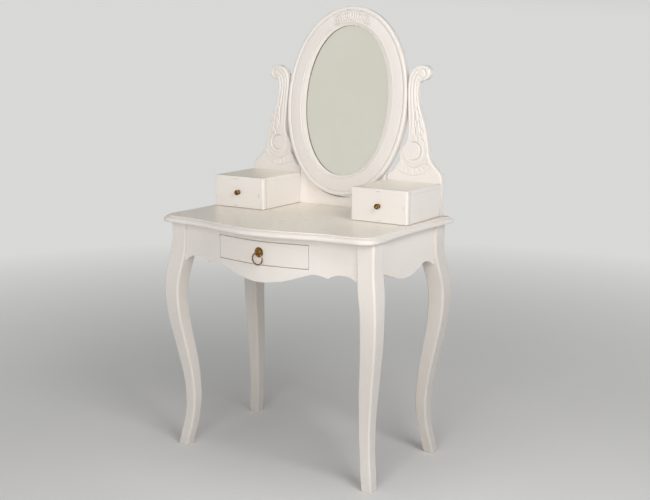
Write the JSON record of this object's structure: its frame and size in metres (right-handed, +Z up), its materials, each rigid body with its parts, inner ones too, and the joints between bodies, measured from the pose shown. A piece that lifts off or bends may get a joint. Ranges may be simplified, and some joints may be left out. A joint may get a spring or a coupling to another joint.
{
  "type": "dressing table",
  "caption": "Painted dressing table on cabriole legs, with a bow-fronted drawer, gallery drawers and a tilting oval mirror between scrolled, carved supports.",
  "frame": {"origin": "centre of the footprint box of the whole table, on the floor plane", "axes": "+Z up, +X to the right as seen by someone facing the front, -Y out of the front (the way the drawers open)"},
  "size_m": [0.802, 0.593, 1.4153],
  "materials": {
    "painted_wood": "antique ivory satin paint, rubbed through at a few edges",
    "bare_wood": "planed hardwood, unfinished",
    "plywood": "thin plywood, unfinished",
    "aged_brass": "aged brass, dark in the hollows",
    "steel": "zinc-plated steel",
    "mirror_silvered": "silvered plate glass"
  },
  "bodies": {
    "table": {"table_top": "painted_wood", "leg_front_left": "painted_wood", "leg_front_right": "painted_wood", "leg_back_left": "painted_wood", "leg_back_right": "painted_wood", "front_apron": "painted_wood", "side_apron_left": "painted_wood", "side_apron_right": "painted_wood", "back_apron": "painted_wood", "corner_block_front_left": "bare_wood", "corner_block_front_right": "bare_wood", "corner_block_back_left": "bare_wood", "corner_block_back_right": "bare_wood", "drawer_runner_left": "bare_wood", "drawer_runner_right": "bare_wood", "drawer_kicker_left": "bare_wood", "drawer_kicker_right": "bare_wood", "left_box_top": "painted_wood", "left_box_outer_side": "painted_wood", "left_box_inner_side": "painted_wood", "left_box_bottom": "bare_wood", "right_box_top": "painted_wood", "right_box_outer_side": "painted_wood", "right_box_inner_side": "painted_wood", "right_box_bottom": "bare_wood", "back_panel": "painted_wood", "mirror_support_left": "painted_wood", "mirror_support_right": "painted_wood", "mirror_pivot_left": "steel", "mirror_pivot_right": "steel"},
    "centre_drawer": {"centre_drawer_front": "painted_wood", "centre_drawer_side_left": "bare_wood", "centre_drawer_side_right": "bare_wood", "centre_drawer_back": "bare_wood", "centre_drawer_bottom": "plywood", "pull_rosette": "aged_brass", "pull_post": "aged_brass", "pull_nut": "aged_brass"},
    "pull": {"pull_ring": "aged_brass"},
    "left_drawer": {"left_drawer_front": "painted_wood", "left_drawer_inner_side": "bare_wood", "left_drawer_outer_side": "bare_wood", "left_drawer_back": "bare_wood", "left_drawer_bottom": "plywood", "left_knob_plate": "aged_brass", "left_knob": "aged_brass", "left_knob_screw": "steel"},
    "right_drawer": {"right_drawer_front": "painted_wood", "right_drawer_inner_side": "bare_wood", "right_drawer_outer_side": "bare_wood", "right_drawer_back": "bare_wood", "right_drawer_bottom": "plywood", "right_knob_plate": "aged_brass", "right_knob": "aged_brass", "right_knob_screw": "steel"},
    "mirror": {"mirror_frame": "painted_wood", "mirror_glass": "mirror_silvered", "mirror_backing": "plywood"}
  },
  "joints": [
    {"name": "centre_drawer_slide", "type": "slide", "parent": "table", "child": "centre_drawer", "axis": [0, -1, 0], "range_m": [0, 0.22]},
    {"name": "left_drawer_slide", "type": "slide", "parent": "table", "child": "left_drawer", "axis": [0, -1, 0], "range_m": [0, 0.13]},
    {"name": "right_drawer_slide", "type": "slide", "parent": "table", "child": "right_drawer", "axis": [0, -1, 0], "range_m": [0, 0.13]},
    {"name": "mirror_tilt", "type": "hinge", "parent": "table", "child": "mirror", "pos_m": [0, 0.24655, 1.111], "axis": [-1, 0, 0], "range_deg": [-50, 37]},
    {"name": "pull_ring_swing", "type": "hinge", "parent": "centre_drawer", "child": "pull", "pos_m": [0.003, -0.24973, 0.692], "axis": [-1, 0, 0], "range_deg": [0, 100]}
  ]
}
